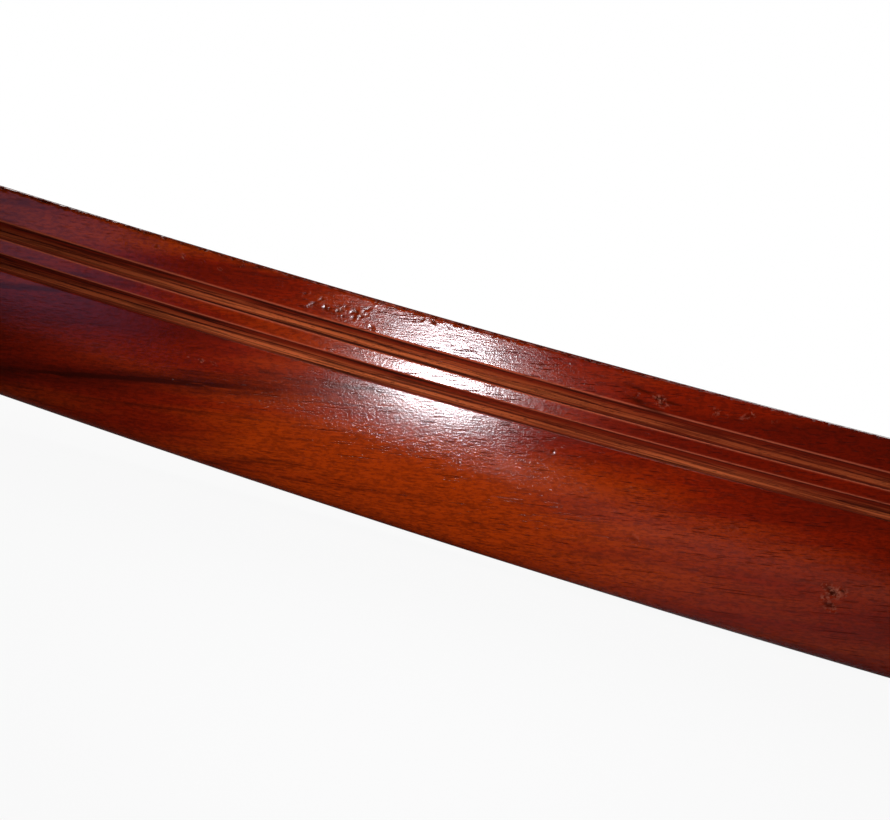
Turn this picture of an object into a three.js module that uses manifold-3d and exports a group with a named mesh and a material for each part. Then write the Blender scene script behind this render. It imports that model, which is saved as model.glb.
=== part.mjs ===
// Grab rail: a moulded hardwood rail held off a bulkhead on two turned brass pillars. Each pillar
// stands in a round wall rose, and one bolt clamps the stack: it comes from behind the bulkhead, through
// a backing plate, the panel, the rose and the pillar, into a threaded insert in the rail's flat back.
//
// The rail isn't a plain length of moulding: its top edge and grooves follow a slight sheer, lowest at
// mid-length, and its lower edge drops away steadily towards +X, so the rail is deeper at that end.
//
// Millimetres, +Z up, +X along the rail, +Y into the bulkhead. The origin is the centre of the footprint,
// level with the lowest point of the rail's lower edge.
import * as THREE from "three";
import { mergeVertices } from "three/addons/utils/BufferGeometryUtils.js";
import Module from "manifold-3d";

const wasm = await Module();
wasm.setup();

const { degToRad } = THREE.MathUtils;

// ---- Driving dimensions: the rail ------------------------------------------------------------------

const RAIL_LENGTH = 640;
const RAIL_DEPTH = 70; // top to bottom at mid-length
const TAPER = 0.036; // how much deeper the rail gets for each millimetre along +X
const SHEER_RADIUS = 5400; // of the long curve that the top edge and the grooves follow
const FINGER_GAP = 50; // bulkhead to the rail's flat back
const TOP_WIDTH = 26; // from the flat back to the corner of top and face
const FACE_LEAN = degToRad(4); // the upper face looks this far above level
const TOP_BAND = 10.5; // face above the first groove
const GROOVE_WIDTH = 5.2;
const QUIRK = 0.4; // square step at each edge of a groove
const GROOVE_DEPTH = QUIRK + GROOVE_WIDTH / 2; // a right-angled V below the quirks
const FILLET_WIDTH = 4.4; // face left standing between the grooves
const SHOULDER_RADIUS = 230; // below the grooves, down to where the face stands upright
const BELLY_RADIUS = 46; // from there to the lower front edge
const NOSE_RADIUS = 10.5; // lower front edge
const ARRIS_RADIUS = 2; // upper front edge
const BACK_RADIUS = 5; // both back edges
const END_RADIUS = 11; // quarter round worked all round both ends

// ---- Driving dimensions: the fixings ---------------------------------------------------------------

const FIXING_SPACING = 480;
const BOLT_BELOW_TOP = 30; // measured at mid-length, where the top edge is lowest
const BULKHEAD = 18; // thickness of the panel between rose and backing plate
const CONTACT_GAP = 0.05; // between faces that bear on each other
const SCREW_CLEARANCE = 0.15;
const BORE_RADIUS = 4.5; // clearance for the bolt
const BOLT = { radius: 4, engagement: 14, flats: 13, headHeight: 5.3, chamfer: 0.9 }; // M8
const INSERT = { radius: 6.4, thread: 7.4, pitch: 3, length: 17, bore: 4.1, flange: 9.5, lip: 1.5 };
const ISOLATOR = { radius: 13.5, thickness: 1.5 };
const PILLAR = { foot: 11, head: 12.5, waist: 7.5, bead: 2.5, swell: 0.7, step: 1 };
const ROSE = { radius: 28, thickness: 4, edge: 1.4, hub: 14.5, hubHeight: 10, chamfer: 1, socket: 3.5 };
const ROSE_SCREW = { circle: 21.5, head: 4, countersink: 2.4, shank: 1.9, length: 17, slot: 1.1, tip: 3 };
const SCREWS_PER_ROSE = 3;
const GASKET = { radius: 26.5, thickness: 1.5 };
const PLATE = { side: 46, corner: 8, thickness: 3 };
const SPRING_WASHER = { inner: 4.3, outer: 7.3, thickness: 2, cut: degToRad(20) };

const ROUND_SEGMENTS = 36;
const SMALL_SEGMENTS = 20; // screws and hidden threads
const ARC_DIVISIONS = 5; // three.js lays twice this many segments on each arc of an outline
const CURVE_POINTS = 10; // along the pillar's waist
const SWEEP_POINTS = 4; // on the rose's rim and cove
const END_STEPS = 6;
const SHEER_STEPS = 16;
const MARGIN = 2; // how far a cutter runs past the face it enters

// ---- The rail's section at mid-length --------------------------------------------------------------
// Points are (out from the flat back, up from the bolt axis).

const railTop = BOLT_BELOW_TOP;
const railBottom = railTop - RAIL_DEPTH;
const alongFace = new THREE.Vector2(Math.sin(FACE_LEAN), -Math.cos(FACE_LEAN));
const offFace = new THREE.Vector2(Math.cos(FACE_LEAN), Math.sin(FACE_LEAN));
const faceCorner = new THREE.Vector2(TOP_WIDTH, railTop);
const grooveStarts = [TOP_BAND, TOP_BAND + GROOVE_WIDTH + FILLET_WIDTH];
const flatLength = grooveStarts[1] + GROOVE_WIDTH;
const flatEnd = facePoint(flatLength, 0).y;
const shoulderCentre = facePoint(flatLength, -SHOULDER_RADIUS);
const railThickness = shoulderCentre.x + SHOULDER_RADIUS;
const bellyCentre = new THREE.Vector2(railThickness - BELLY_RADIUS, shoulderCentre.y);
const noseUp = railBottom + NOSE_RADIUS;
const noseAngle = Math.asin((noseUp - bellyCentre.y) / (BELLY_RADIUS - NOSE_RADIUS));
const noseOut = bellyCentre.x + (BELLY_RADIUS - NOSE_RADIUS) * Math.cos(noseAngle);

// A point `distance` down the face from its top corner, and `height` off it.
function facePoint(distance, height) {
  return faceCorner.clone().addScaledVector(alongFace, distance).addScaledVector(offFace, height);
}

// ---- Places along a fixing, as distances from the bulkhead's face into the room ----------------------

const roseBack = GASKET.thickness + CONTACT_GAP;
const roseFace = roseBack + ROSE.thickness;
const roseTop = roseBack + ROSE.hubHeight;
const pillarFoot = roseTop - ROSE.socket + CONTACT_GAP;
const isolatorBack = FINGER_GAP - CONTACT_GAP - ISOLATOR.thickness;
const pillarHead = isolatorBack - CONTACT_GAP;
const plateFace = -BULKHEAD;
const washerFace = plateFace - PLATE.thickness - CONTACT_GAP;
const boltSeat = washerFace - SPRING_WASHER.thickness - CONTACT_GAP;
const boltBack = boltSeat - BOLT.headHeight;
const boltTip = FINGER_GAP + BOLT.engagement;

// ---- Materials -------------------------------------------------------------------------------------

const surface = (color, roughness, metalness) =>
  new THREE.MeshStandardMaterial({ color, roughness, metalness });
const timber = surface(0x7a2410, 0.3, 0);
const brass = surface(0xc79a45, 0.22, 1);
const stainless = surface(0xb9bcc0, 0.3, 1);
const rubber = surface(0x1c1c1e, 0.85, 0);

// ---- Solid helpers ---------------------------------------------------------------------------------

function solidOf(geometry) {
  const bare = geometry.clone();
  bare.deleteAttribute("normal");
  bare.deleteAttribute("uv");
  const merged = mergeVertices(bare, 1e-4);
  const vertProperties = merged.attributes.position.array;
  const triVerts = new Uint32Array(merged.index.array);
  return new wasm.Manifold(new wasm.Mesh({ numProp: 3, vertProperties, triVerts }));
}

function geometryOf(solid) {
  const mesh = solid.getMesh();
  const geometry = new THREE.BufferGeometry();
  geometry.setAttribute("position", new THREE.BufferAttribute(mesh.vertProperties, 3));
  geometry.setIndex(new THREE.BufferAttribute(mesh.triVerts, 1));
  geometry.computeVertexNormals();
  return geometry;
}

function meshOf(name, geometry, material) {
  const mesh = new THREE.Mesh(geometry, material);
  mesh.name = name;
  return mesh;
}

// A solid of revolution about Z. Each profile point is [radius, z]; the profile starts and ends on the
// axis, or closes on itself.
function turned(profile, segments = ROUND_SEGMENTS) {
  const points = profile.map(([radius, z]) => new THREE.Vector2(radius, z));
  if (THREE.ShapeUtils.isClockWise(points)) {
    points.reverse();
  }
  return new THREE.LatheGeometry(points, segments).rotateX(Math.PI / 2);
}

function ring(inner, outer, low, high) {
  const profile = [
    [inner, low],
    [outer, low],
    [outer, high],
    [inner, high],
    [inner, low],
  ];
  return turned(profile);
}

function extruded(shape, low, thickness) {
  const settings = { depth: thickness, bevelEnabled: false, curveSegments: ARC_DIVISIONS };
  return new THREE.ExtrudeGeometry(shape, settings).translate(0, 0, low);
}

function circleHole(x, y, radius) {
  return new THREE.Path().absarc(x, y, radius, 0, 2 * Math.PI, true);
}

// ---- The rail --------------------------------------------------------------------------------------

// The section before it is grooved.
function railOutline() {
  const quarter = Math.PI / 2;
  const arrisOut = TOP_WIDTH - (ARRIS_RADIUS * (1 - offFace.y)) / offFace.x;
  return new THREE.Shape()
    .absarc(arrisOut, railTop - ARRIS_RADIUS, ARRIS_RADIUS, quarter, FACE_LEAN, true)
    .absarc(shoulderCentre.x, shoulderCentre.y, SHOULDER_RADIUS, FACE_LEAN, 0, true)
    .absarc(bellyCentre.x, bellyCentre.y, BELLY_RADIUS, 0, noseAngle, true)
    .absarc(noseOut, noseUp, NOSE_RADIUS, noseAngle, -quarter, true)
    .absarc(BACK_RADIUS, railBottom + BACK_RADIUS, BACK_RADIUS, -quarter, -2 * quarter, true)
    .absarc(BACK_RADIUS, railTop - BACK_RADIUS, BACK_RADIUS, 2 * quarter, quarter, true);
}

// One V groove with a quirk at each edge, as the outline of what the cutter takes away.
function grooveOutline(start) {
  const end = start + GROOVE_WIDTH;
  return new THREE.Shape([
    facePoint(start, MARGIN),
    facePoint(start, -QUIRK),
    facePoint(start + GROOVE_WIDTH / 2, -GROOVE_DEPTH),
    facePoint(end, -QUIRK),
    facePoint(end, MARGIN),
  ]);
}

// The height that a point of the mid-length section has at another place along the rail. The whole
// section rises with the sheer, and what lies below the flat of the face is stretched by the taper.
function heightAt(up, place) {
  const belly = Math.max(flatEnd - up, 0);
  const stretch = (TAPER * place * belly) / (flatEnd - railBottom);
  return up - stretch + place ** 2 / (2 * SHEER_RADIUS);
}

// Cross-sections along the rail, from its +X end. Those of the two ends are drawn in by a quarter round.
function railStations() {
  const end = [];
  for (let step = 0; step <= END_STEPS; step += 1) {
    const angle = (step / END_STEPS) * (Math.PI / 2);
    const place = RAIL_LENGTH / 2 - END_RADIUS * (1 - Math.cos(angle));
    end.push({ place, inset: END_RADIUS * (1 - Math.sin(angle)) });
  }
  const reach = RAIL_LENGTH / 2 - END_RADIUS;
  const middle = [];
  for (let step = 1; step < SHEER_STEPS; step += 1) {
    middle.push({ place: reach * (1 - (2 * step) / SHEER_STEPS), inset: 0 });
  }
  const otherEnd = end.map(({ place, inset }) => ({ place: -place, inset })).reverse();
  return [...end, ...middle, ...otherEnd];
}

// Runs a section along X, with its "out" points into the room. The extrusion has one step for each
// station, so a vertex's z says which station it belongs to.
function layAlongX(shape, stations) {
  const steps = stations.length - 1;
  const settings = { depth: steps, steps, bevelEnabled: false, curveSegments: ARC_DIVISIONS };
  const geometry = new THREE.ExtrudeGeometry(shape, settings);
  const position = geometry.attributes.position;
  for (let index = 0; index < position.count; index += 1) {
    const { place, inset } = stations[Math.round(position.getZ(index))];
    const [top, bottom] = [heightAt(railTop, place), heightAt(railBottom, place)];
    const [middleOut, middleUp] = [railThickness / 2, (top + bottom) / 2];
    const out = position.getX(index) - middleOut;
    const up = heightAt(position.getY(index), place) - middleUp;
    const narrowed = middleOut + out * (1 - inset / middleOut);
    const lowered = middleUp + up * (1 - (2 * inset) / (top - bottom));
    position.setXYZ(index, place, -FINGER_GAP - narrowed, lowered);
  }
  return geometry;
}

// The blind hole for one insert, in the frame of its fixing.
function insertPocket() {
  const seat = FINGER_GAP + INSERT.lip + CONTACT_GAP;
  const profile = [
    [0, FINGER_GAP - MARGIN],
    [INSERT.flange + CONTACT_GAP, FINGER_GAP - MARGIN],
    [INSERT.flange + CONTACT_GAP, seat],
    [INSERT.thread + CONTACT_GAP, seat],
    [INSERT.thread + CONTACT_GAP, FINGER_GAP + INSERT.length + MARGIN],
    [0, FINGER_GAP + INSERT.length + MARGIN],
  ];
  return turned(profile, SMALL_SEGMENTS);
}

function rail() {
  const stations = railStations();
  const beyond = RAIL_LENGTH / 2 + MARGIN;
  const straight = stations.filter(({ inset }) => inset === 0);
  const grooveStations = [{ place: beyond, inset: 0 }, ...straight, { place: -beyond, inset: 0 }];
  let solid = solidOf(layAlongX(railOutline(), stations));
  for (const start of grooveStarts) {
    const cutter = layAlongX(grooveOutline(start), grooveStations);
    solid = solid.subtract(solidOf(cutter));
  }
  for (const side of [-1, 1]) {
    const pocket = insertPocket().applyMatrix4(fixingFrame(side));
    solid = solid.subtract(solidOf(pocket));
  }
  return meshOf("rail", geometryOf(solid), timber);
}

// ---- One fixing, built along its own Z: z = 0 on the bulkhead's face, +Z into the room -----------------

function fixingFrame(side) {
  return new THREE.Matrix4()
    .makeRotationX(Math.PI / 2)
    .setPosition((side * FIXING_SPACING) / 2, 0, 0);
}

// A flanged sleeve with a coarse wood thread outside, drawn as a row of rings.
function threadedInsert() {
  const flangeTop = FINGER_GAP + INSERT.lip;
  const tip = FINGER_GAP + INSERT.length;
  const profile = [
    [INSERT.bore, FINGER_GAP],
    [INSERT.flange, FINGER_GAP],
    [INSERT.flange, flangeTop],
    [INSERT.radius, flangeTop],
  ];
  for (let crest = flangeTop + INSERT.pitch; crest < tip - INSERT.pitch / 2; crest += INSERT.pitch) {
    profile.push([INSERT.radius, crest - INSERT.pitch / 2]);
    profile.push([INSERT.thread, crest]);
  }
  profile.push([INSERT.radius, tip], [INSERT.bore, tip], [INSERT.bore, FINGER_GAP]);
  return turned(profile, SMALL_SEGMENTS);
}

function isolatingWasher() {
  return ring(BORE_RADIUS, ISOLATOR.radius, isolatorBack, isolatorBack + ISOLATOR.thickness);
}

// A spigot that fills the rose's socket, a bead, a hollow waist and a bead under the head.
function pillar() {
  const spigotTop = roseTop + CONTACT_GAP;
  const waistLow = spigotTop + PILLAR.bead;
  const waistHigh = pillarHead - PILLAR.bead;
  const footNeck = PILLAR.foot - PILLAR.step;
  const headNeck = PILLAR.head - PILLAR.step;
  const pull = 2 * PILLAR.waist - (footNeck + headNeck) / 2; // brings the curve's middle to the waist
  const waist = new THREE.QuadraticBezierCurve(
    new THREE.Vector2(footNeck, waistLow),
    new THREE.Vector2(pull, (waistLow + waistHigh) / 2),
    new THREE.Vector2(headNeck, waistHigh),
  ).getPoints(CURVE_POINTS);
  return turned([
    [BORE_RADIUS, pillarFoot],
    [PILLAR.foot, pillarFoot],
    [PILLAR.foot, spigotTop],
    [PILLAR.foot + PILLAR.swell, spigotTop + PILLAR.bead / 2],
    [PILLAR.foot, waistLow],
    ...waist.map(({ x, y }) => [x, y]),
    [PILLAR.head, waistHigh],
    [PILLAR.head + PILLAR.swell, pillarHead - PILLAR.bead / 2],
    [PILLAR.head, pillarHead],
    [BORE_RADIUS, pillarHead],
    [BORE_RADIUS, pillarFoot],
  ]);
}

function rosePlaces() {
  const places = [];
  for (let index = 0; index < SCREWS_PER_ROSE; index += 1) {
    const angle = Math.PI / 2 + (index * 2 * Math.PI) / SCREWS_PER_ROSE;
    places.push(new THREE.Vector2(Math.cos(angle), Math.sin(angle)).multiplyScalar(ROSE_SCREW.circle));
  }
  return places;
}

// A round flange with a softened rim, a hub that sweeps up from it, and a socket for the pillar.
function rose() {
  const socketFloor = roseTop - ROSE.socket;
  const rimSweep = new THREE.EllipseCurve(
    ROSE.radius - ROSE.edge, roseFace - ROSE.edge, ROSE.edge, ROSE.edge, 0, Math.PI / 2,
  ).getPoints(SWEEP_POINTS);
  const cove = roseTop - ROSE.chamfer - roseFace;
  const hubSweep = new THREE.EllipseCurve(
    ROSE.hub + cove, roseFace + cove, cove, cove, -Math.PI / 2, -Math.PI, true,
  ).getPoints(SWEEP_POINTS);
  const body = turned([
    [BORE_RADIUS, roseBack],
    [ROSE.radius, roseBack],
    ...rimSweep.map(({ x, y }) => [x, y]),
    ...hubSweep.map(({ x, y }) => [x, y]),
    [ROSE.hub - ROSE.chamfer, roseTop],
    [PILLAR.foot + CONTACT_GAP, roseTop],
    [PILLAR.foot + CONTACT_GAP, socketFloor],
    [BORE_RADIUS, socketFloor],
    [BORE_RADIUS, roseBack],
  ]);
  let solid = solidOf(body);
  for (const { x, y } of rosePlaces()) {
    solid = solid.subtract(solidOf(screwHole().translate(x, y, 0)));
  }
  return geometryOf(solid);
}

// The countersunk hole through the rose, a little larger than its screw all round.
function screwHole() {
  const neck = ROSE_SCREW.shank + SCREW_CLEARANCE;
  const mouth = ROSE_SCREW.head + SCREW_CLEARANCE;
  const profile = [
    [0, roseBack - MARGIN],
    [neck, roseBack - MARGIN],
    [neck, roseFace - ROSE_SCREW.countersink],
    [mouth, roseFace],
    [mouth, roseFace + MARGIN],
    [0, roseFace + MARGIN],
  ];
  return turned(profile, SMALL_SEGMENTS);
}

function roseScrew() {
  const headFace = roseFace - CONTACT_GAP;
  const tip = headFace - ROSE_SCREW.length;
  const profile = [
    [0, tip],
    [ROSE_SCREW.shank, tip + ROSE_SCREW.tip],
    [ROSE_SCREW.shank, headFace - ROSE_SCREW.countersink],
    [ROSE_SCREW.head, headFace],
    [0, headFace],
  ];
  const { head, slot } = ROSE_SCREW;
  const slotCutter = new THREE.BoxGeometry(2 * head + MARGIN, slot, 2 * slot).translate(0, 0, headFace);
  const blank = solidOf(turned(profile, SMALL_SEGMENTS));
  return geometryOf(blank.subtract(solidOf(slotCutter)));
}

function gasket() {
  const disc = new THREE.Shape().absarc(0, 0, GASKET.radius, 0, 2 * Math.PI);
  disc.holes.push(circleHole(0, 0, BORE_RADIUS));
  for (const { x, y } of rosePlaces()) {
    disc.holes.push(circleHole(x, y, ROSE_SCREW.shank + SCREW_CLEARANCE));
  }
  const settings = { depth: GASKET.thickness, bevelEnabled: false, curveSegments: SMALL_SEGMENTS / 2 };
  return new THREE.ExtrudeGeometry(disc, settings);
}

function backingPlate() {
  const half = PLATE.side / 2;
  const corner = half - PLATE.corner;
  const quarter = Math.PI / 2;
  const square = new THREE.Shape()
    .absarc(corner, corner, PLATE.corner, 0, quarter)
    .absarc(-corner, corner, PLATE.corner, quarter, 2 * quarter)
    .absarc(-corner, -corner, PLATE.corner, 2 * quarter, 3 * quarter)
    .absarc(corner, -corner, PLATE.corner, 3 * quarter, 4 * quarter);
  square.holes.push(circleHole(0, 0, BORE_RADIUS));
  return extruded(square, plateFace - PLATE.thickness, PLATE.thickness);
}

// Flat, as it is once the bolt is tight, and split at the top.
function springWasher() {
  const { inner, outer, thickness, cut } = SPRING_WASHER;
  const split = new THREE.Shape()
    .absarc(0, 0, outer, cut / 2, 2 * Math.PI - cut / 2)
    .absarc(0, 0, inner, 2 * Math.PI - cut / 2, cut / 2, true);
  const settings = { depth: thickness, bevelEnabled: false, curveSegments: SMALL_SEGMENTS / 2 };
  return new THREE.ExtrudeGeometry(split, settings)
    .rotateZ(Math.PI / 2)
    .translate(0, 0, washerFace - thickness);
}

function bolt() {
  const corner = BOLT.flats / Math.sqrt(3);
  const hexagon = new THREE.CylinderGeometry(corner, corner, BOLT.headHeight, 6)
    .rotateX(Math.PI / 2)
    .translate(0, 0, (boltBack + boltSeat) / 2);
  const chamfered = turned([
    [0, boltBack],
    [BOLT.flats / 2 - BOLT.chamfer / 2, boltBack],
    [corner + BOLT.chamfer, boltBack + BOLT.chamfer],
    [corner + BOLT.chamfer, boltSeat + MARGIN],
    [0, boltSeat + MARGIN],
  ]);
  const head = solidOf(hexagon).intersect(solidOf(chamfered));
  const shank = turned([
    [0, boltBack + BOLT.chamfer],
    [BOLT.radius, boltBack + BOLT.chamfer],
    [BOLT.radius, boltTip - BOLT.chamfer],
    [BOLT.radius - BOLT.chamfer, boltTip],
    [0, boltTip],
  ]);
  return geometryOf(head.add(solidOf(shank)));
}

function fixing(name, side) {
  const group = new THREE.Group();
  group.applyMatrix4(fixingFrame(side));
  group.add(
    meshOf(`${name}_threaded_insert`, threadedInsert(), brass),
    meshOf(`${name}_isolating_washer`, isolatingWasher(), rubber),
    meshOf(`${name}_pillar`, pillar(), brass),
    meshOf(`${name}_wall_rose`, rose(), brass),
    meshOf(`${name}_gasket`, gasket(), rubber),
    meshOf(`${name}_backing_plate`, backingPlate(), stainless),
    meshOf(`${name}_spring_washer`, springWasher(), stainless),
    meshOf(`${name}_through_bolt`, bolt(), stainless),
  );
  rosePlaces().forEach(({ x, y }, index) => {
    const screw = meshOf(`${name}_rose_screw_${index + 1}`, roseScrew(), brass);
    screw.position.set(x, y, 0);
    group.add(screw);
  });
  return group;
}

// ---- Assembly --------------------------------------------------------------------------------------

const grabRail = new THREE.Group();
grabRail.add(rail(), fixing("left", -1), fixing("right", 1));
const box = new THREE.Box3().setFromObject(grabRail);
grabRail.position.set(0, -(box.min.y + box.max.y) / 2, -box.min.z);

export default grabRail;
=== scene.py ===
"""Looks for the grab rail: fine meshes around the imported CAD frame, procedural materials, studio light.

Metres throughout, in the frame of the CAD part: +X along the rail, +Y into the bulkhead, +Z up.
"""

import math

import bmesh
import bpy
import numpy as np
from mathutils import Matrix, Vector, noise


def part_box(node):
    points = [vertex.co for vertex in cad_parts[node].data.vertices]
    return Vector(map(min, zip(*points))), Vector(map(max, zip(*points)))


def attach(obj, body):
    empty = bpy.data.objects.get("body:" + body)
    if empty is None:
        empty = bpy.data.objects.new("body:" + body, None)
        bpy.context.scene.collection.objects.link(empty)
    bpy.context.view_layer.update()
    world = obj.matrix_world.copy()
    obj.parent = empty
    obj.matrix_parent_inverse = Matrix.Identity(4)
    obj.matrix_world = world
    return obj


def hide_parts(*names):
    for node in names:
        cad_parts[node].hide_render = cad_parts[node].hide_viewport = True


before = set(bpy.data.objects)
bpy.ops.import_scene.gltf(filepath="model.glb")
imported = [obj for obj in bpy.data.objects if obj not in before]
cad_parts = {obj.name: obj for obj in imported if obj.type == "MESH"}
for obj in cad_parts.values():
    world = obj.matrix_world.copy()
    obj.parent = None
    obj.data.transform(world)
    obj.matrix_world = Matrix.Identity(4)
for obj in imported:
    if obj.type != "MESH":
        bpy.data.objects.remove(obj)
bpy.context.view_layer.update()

MM = 0.001
BODY = "root"
SIDES = ("left", "right")
QUARTER, FULL_TURN = math.pi / 2, 2 * math.pi


# ---- The rail's section ----
# As the CAD part has it, but for the upper front edge: it is eased less here, and chipped instead.

RAIL_DEPTH = 70 * MM
TAPER = 0.036
SHEER_RADIUS = 5400 * MM
BOLT_BELOW_TOP = 30 * MM
FACE_LEAN = math.radians(4)
TOP_WIDTH = 26 * MM
TOP_BAND = 10.5 * MM
GROOVE_WIDTH = 5.2 * MM
QUIRK = 0.4 * MM
FILLET_WIDTH = 4.4 * MM
SHOULDER_RADIUS = 230 * MM
BELLY_RADIUS = 46 * MM
NOSE_RADIUS = 10.5 * MM
ARRIS_RADIUS = 1.2 * MM  # 2 mm in the CAD part
BACK_RADIUS = 5 * MM
END_RADIUS = 11 * MM
LIP_SOFTNESS = 0.16 * MM  # how far the varnish rounds each edge of a groove

RAIL_LOW, RAIL_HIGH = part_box("rail")
RAIL_LENGTH = RAIL_HIGH.x - RAIL_LOW.x
RAIL_BACK = RAIL_HIGH.y
PILLAR_LOW, PILLAR_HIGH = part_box("left_pillar")
BOLT_HEIGHT = (PILLAR_LOW.z + PILLAR_HIGH.z) / 2

# Points of the section are (out from the flat back, up from the bolt axis), in metres.
RAIL_TOP = BOLT_BELOW_TOP
RAIL_BOTTOM = RAIL_TOP - RAIL_DEPTH
GROOVE_STARTS = (TOP_BAND, TOP_BAND + GROOVE_WIDTH + FILLET_WIDTH)
FLAT_LENGTH = GROOVE_STARTS[1] + GROOVE_WIDTH
ALONG_FACE = np.array([math.sin(FACE_LEAN), -math.cos(FACE_LEAN)])
OFF_FACE = np.array([math.cos(FACE_LEAN), math.sin(FACE_LEAN)])
FACE_CORNER = np.array([TOP_WIDTH, RAIL_TOP])
FLAT_END = (FACE_CORNER + FLAT_LENGTH * ALONG_FACE)[1]


def sheer(place):
    """How far the whole section has risen at a place along the rail."""
    return place ** 2 / (2 * SHEER_RADIUS)


def height_at(up, place):
    """The height there of a point that lies `up` in the mid-length section: the belly is stretched."""
    belly = np.maximum(FLAT_END - up, 0)
    return up - TAPER * place * belly / (FLAT_END - RAIL_BOTTOM) + sheer(place)


# ---- Mesh helpers ----

def add_object(name, data):
    thing = bpy.data.objects.new(name, data)
    bpy.context.scene.collection.objects.link(thing)
    return thing


def new_object(name, vertices, faces, material):
    mesh = bpy.data.meshes.new(name)
    mesh.from_pydata([tuple(v) for v in vertices], [], faces)
    mesh.validate()
    mesh.shade_smooth()
    mesh.materials.append(material)
    return add_object(name, mesh)


def grid_faces(rows, columns):
    """Quads between `rows` closed loops of `columns` points each."""
    faces = []
    for row in range(rows - 1):
        for column in range(columns):
            following = (column + 1) % columns
            low, high = row * columns, (row + 1) * columns
            faces.append((low + column, low + following, high + following, high + column))
    return faces


def face_outward(piece):
    mesh = bmesh.new()
    mesh.from_mesh(piece.data)
    bmesh.ops.recalc_face_normals(mesh, faces=mesh.faces)
    mesh.to_mesh(piece.data)
    mesh.free()


def straight(start, end, count):
    """`count` points between `start` and `end`, which are left out."""
    return np.stack([np.linspace(a, b, count + 2)[1:-1] for a, b in zip(start, end)], 1)


def arc(centre, radius, start, end, count):
    """Points from angle `start` to angle `end`, both included."""
    angles = np.linspace(start, end, count)
    return np.stack([centre[0] + radius * np.cos(angles), centre[1] + radius * np.sin(angles)], 1)


def bent(start, corner, end, count):
    """Points from start to end on a curve that is pulled towards the corner."""
    shares = np.linspace(0, 1, count)[:, None]
    return (1 - shares) ** 2 * start + 2 * shares * (1 - shares) * corner + shares ** 2 * end


def stand_for(node, piece):
    """Puts the piece on the body in place of a CAD node."""
    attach(piece, BODY)
    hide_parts(node)


# ---- Material helper ----

class Shader:
    """One node material, or world. Each method adds a node and gives back the socket to read from."""

    def __init__(self, name, store=bpy.data.materials):
        self.made = store.new(name)
        self.made.use_nodes = True
        self.tree = self.made.node_tree
        self.tree.nodes.clear()
        self.place = self.node("TexCoord").outputs["Object"]
        split = self.node("SeparateXYZ", {"Vector": self.place})
        self.x, self.z = split.outputs["X"], split.outputs["Z"]

    def node(self, kind, inputs=None, **settings):
        node = self.tree.nodes.new("ShaderNode" + kind)
        for key, value in settings.items():
            setattr(node, key, value)
        for key, value in (inputs or {}).items():
            self.plug(node.inputs[key], value)
        return node

    def plug(self, socket, value):
        if isinstance(value, bpy.types.NodeSocket):
            self.tree.links.new(value, socket)
        else:
            socket.default_value = value

    def attribute(self, name):
        return self.node("Attribute", attribute_name=name).outputs["Fac"]

    def math(self, operation, *values):
        node = self.node("Math", operation=operation)
        for socket, value in zip(node.inputs, values):
            self.plug(socket, value)
        return node.outputs[0]

    def times(self, product, *factors):
        for factor in factors:
            product = self.math("MULTIPLY", product, factor)
        return product

    def largest(self, most, *others):
        for other in others:
            most = self.math("MAXIMUM", most, other)
        return most

    def length(self, vector):
        return self.node("VectorMath", {0: vector}, operation="LENGTH").outputs["Value"]

    def mapped(self, vector, scale=(1, 1, 1), rotation=(0, 0, 0), location=(0, 0, 0)):
        inputs = {"Vector": vector, "Scale": scale, "Rotation": rotation, "Location": location}
        return self.node("Mapping", inputs).outputs[0]

    def drifted(self, vector, scale, distance):
        """The vector pushed about by slow noise, by up to `distance` either way."""
        drift = self.node("TexNoise", {"Vector": self.mapped(vector, scale), "Scale": 1, "Detail": 1})
        offset = {0: drift.outputs["Color"], 1: (0.5, 0.5, 0.5)}
        centred = self.node("VectorMath", offset, operation="SUBTRACT")
        amount = self.node("VectorMath", {0: centred.outputs[0], "Scale": 2 * distance}, operation="SCALE")
        moved = self.node("VectorMath", {0: vector, 1: amount.outputs[0]}, operation="ADD")
        return moved.outputs[0]

    def noise(self, vector, scale, detail=2.0, roughness=0.5, location=(0, 0, 0)):
        inputs = {"Vector": self.mapped(vector, scale, location=location), "Scale": 1.0}
        inputs.update({"Detail": detail, "Roughness": roughness})
        return self.node("TexNoise", inputs).outputs[0]

    def between(self, value, low, high, to_low=0.0, to_high=1.0):
        """Smooth step: `to_low` below `low`, `to_high` above `high`."""
        inputs = {"Value": value, "From Min": low, "From Max": high, "To Min": to_low, "To Max": to_high}
        return self.node("MapRange", inputs, interpolation_type="SMOOTHSTEP", clamp=True).outputs[0]

    def ramp(self, factor, *stops):
        node = self.node("ValToRGB", {"Fac": factor})
        elements = node.color_ramp.elements
        while len(elements) < len(stops):
            elements.new(1.0)
        for element, (place, colour) in zip(elements, stops):
            element.position = place
            element.color = (*colour, 1.0)
        return node.outputs["Color"]

    def mix(self, factor, first, second):
        node = self.node("Mix", data_type="RGBA")
        colours = [(*c, 1.0) if isinstance(c, tuple) else c for c in (first, second)]
        for index, value in ((0, factor), (6, colours[0]), (7, colours[1])):
            self.plug(node.inputs[index], value)
        return node.outputs[2]

    def bump(self, height, distance, normal=None):
        inputs = {"Height": height, "Distance": distance, "Strength": 1.0}
        if normal is not None:
            inputs["Normal"] = normal
        return self.node("Bump", inputs).outputs["Normal"]

    def finish(self, inputs):
        """Ends with the principled surface and gives back the material."""
        return self.output(self.node("BsdfPrincipled", inputs).outputs[0])

    def output(self, surface, kind="Material"):
        self.node("Output" + kind, {"Surface": surface})
        return self.made


# ---- Timber ----

GRAIN_TILT = math.radians(10)  # the grain climbs towards +X
GRAIN_DRIFT = 2.5 * MM
COARSE_PORES = (28 * MM, 0.48 * MM)  # spacing along and across the grain
FINE_PORES = (15 * MM, 0.38 * MM)

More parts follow.
